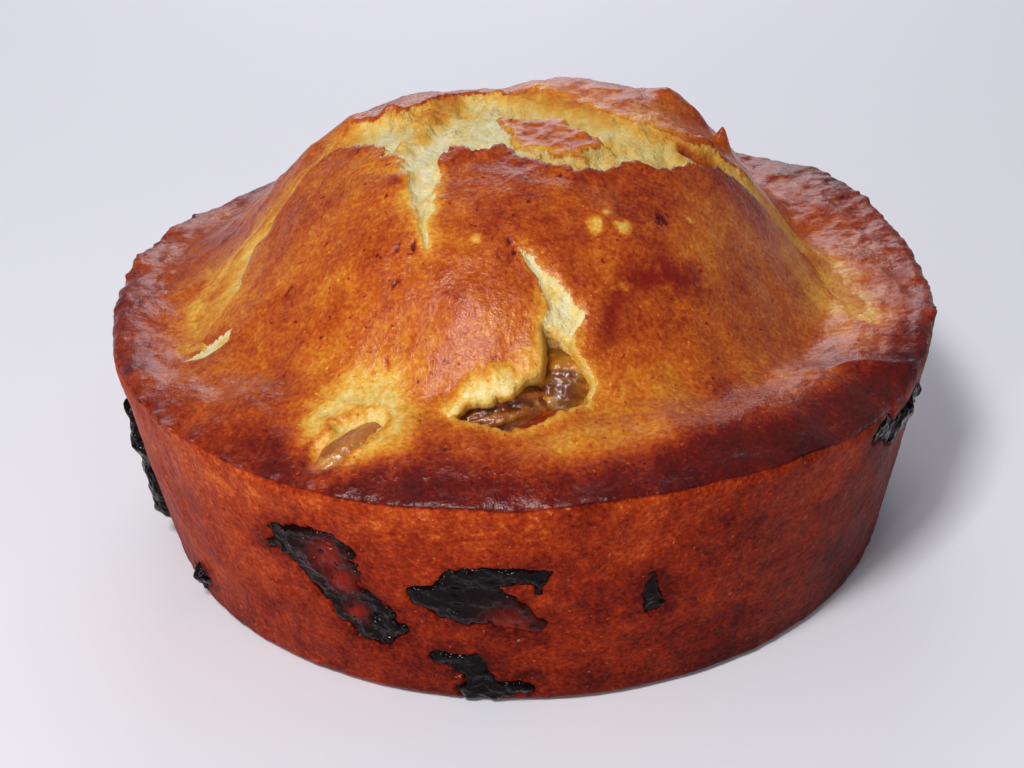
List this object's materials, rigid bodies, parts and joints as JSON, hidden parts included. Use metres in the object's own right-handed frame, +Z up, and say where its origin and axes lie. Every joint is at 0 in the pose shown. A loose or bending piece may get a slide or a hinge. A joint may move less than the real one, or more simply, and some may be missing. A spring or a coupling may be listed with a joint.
{
  "type": "plum cake",
  "caption": "Round baked plum cake with a flared side, a dark brim and a high cracked dome, with plum showing in the openings of its crust and in its side.",
  "frame": {"origin": "centre of the base, on the surface that the cake stands on", "axes": "+Z up; -Y is the side with the large opening in the dome's crust"},
  "size_m": [0.2, 0.2, 0.1005],
  "materials": {
    "baked_crust": "satin",
    "cooked_plum": "gloss",
    "caramelised_plum": "gloss"
  },
  "bodies": {
    "root": {"cake": "baked_crust", "crater_plum_left": "cooked_plum", "crater_plum_front": "cooked_plum", "crater_plum_right": "cooked_plum", "dimple_plum": "cooked_plum", "side_plum_01": "caramelised_plum", "side_plum_02": "caramelised_plum", "side_plum_03": "caramelised_plum", "side_plum_04": "caramelised_plum", "side_plum_05": "caramelised_plum", "side_plum_06": "caramelised_plum", "side_plum_07": "caramelised_plum", "side_plum_08": "caramelised_plum", "side_plum_09": "caramelised_plum", "side_plum_10": "caramelised_plum", "side_plum_11": "caramelised_plum", "side_plum_12": "caramelised_plum"}
  },
  "joints": []
}
